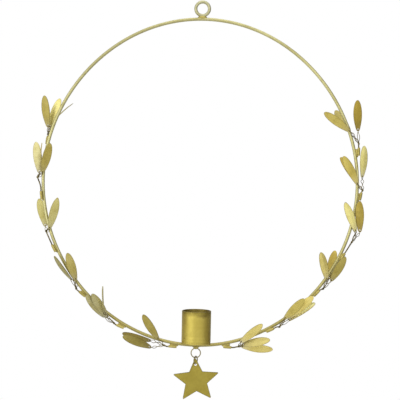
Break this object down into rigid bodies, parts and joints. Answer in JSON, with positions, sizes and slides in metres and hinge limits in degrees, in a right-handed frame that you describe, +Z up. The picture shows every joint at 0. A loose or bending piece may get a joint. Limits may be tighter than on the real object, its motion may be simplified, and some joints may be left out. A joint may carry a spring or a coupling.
{
  "type": "hanging candle holder",
  "caption": "Hanging oval wire wreath with brass leaf sprigs, a cup for a dinner candle inside the hoop and a loose star pendant below.",
  "frame": {"origin": "top inside of the hanging eye, where the hook or ribbon bears", "axes": "+Z up, the front of the wreath faces -Y, +X to the right seen from the front"},
  "size_m": [0.2868, 0.0462, 0.3429],
  "materials": {
    "hoop_brass": "satin, pale olive gold",
    "eye_brass": "satin, pale gold",
    "cup_brass": "polished, with light tarnish",
    "star_brass": "matte, olive gold",
    "leaf_brass": "satin, pale gold with darker edges",
    "ring_wire": "satin, dull gold wire",
    "stem_wire": "dull silver wire with brass at its sleeve"
  },
  "bodies": {
    "wreath": {"hoop": "hoop_brass", "hanging_eye": "eye_brass", "candle_cup": "cup_brass", "cup_base": "cup_brass", "star_ring": "ring_wire", "left_stem_1": "stem_wire", "left_stem_2": "stem_wire", "left_stem_3": "stem_wire", "left_stem_4": "stem_wire", "left_stem_5": "stem_wire", "left_stem_6": "stem_wire", "right_stem_1": "stem_wire", "right_stem_2": "stem_wire", "right_stem_3": "stem_wire", "right_stem_4": "stem_wire", "right_stem_5": "stem_wire", "right_stem_6": "stem_wire", "left_leaf_1a": "leaf_brass", "left_leaf_1b": "leaf_brass", "left_leaf_1c": "leaf_brass", "left_leaf_2a": "leaf_brass", "left_leaf_2b": "leaf_brass", "left_leaf_2c": "leaf_brass", "left_leaf_3a": "leaf_brass", "left_leaf_3b": "leaf_brass", "left_leaf_3c": "leaf_brass", "left_leaf_4a": "leaf_brass", "left_leaf_4b": "leaf_brass", "left_leaf_4c": "leaf_brass", "left_leaf_5a": "leaf_brass", "left_leaf_5b": "leaf_brass", "left_leaf_5c": "leaf_brass", "left_leaf_6a": "leaf_brass", "left_leaf_6b": "leaf_brass", "left_leaf_6c": "leaf_brass", "right_leaf_1a": "leaf_brass", "right_leaf_1b": "leaf_brass", "right_leaf_1c": "leaf_brass", "right_leaf_2a": "leaf_brass", "right_leaf_2b": "leaf_brass", "right_leaf_2c": "leaf_brass", "right_leaf_3a": "leaf_brass", "right_leaf_3b": "leaf_brass", "right_leaf_3c": "leaf_brass", "right_leaf_4a": "leaf_brass", "right_leaf_4b": "leaf_brass", "right_leaf_4c": "leaf_brass", "right_leaf_5a": "leaf_brass", "right_leaf_5b": "leaf_brass", "right_leaf_5c": "leaf_brass", "right_leaf_6a": "leaf_brass", "right_leaf_6b": "leaf_brass", "right_leaf_6c": "leaf_brass"},
    "link": {"link_ring": "ring_wire"},
    "star": {"star_pendant": "star_brass"}
  },
  "joints": [
    {"name": "link_swing", "type": "hinge", "parent": "wreath", "child": "link", "pos_m": [0, 0, -0.3046], "axis": [-0.8988, 0.4384, 0], "range_deg": [-80, 80]},
    {"name": "star_swing", "type": "hinge", "parent": "link", "child": "star", "pos_m": [0, 0, -0.3101], "axis": [0.4384, 0.8988, 0], "range_deg": [-75, 75]}
  ]
}
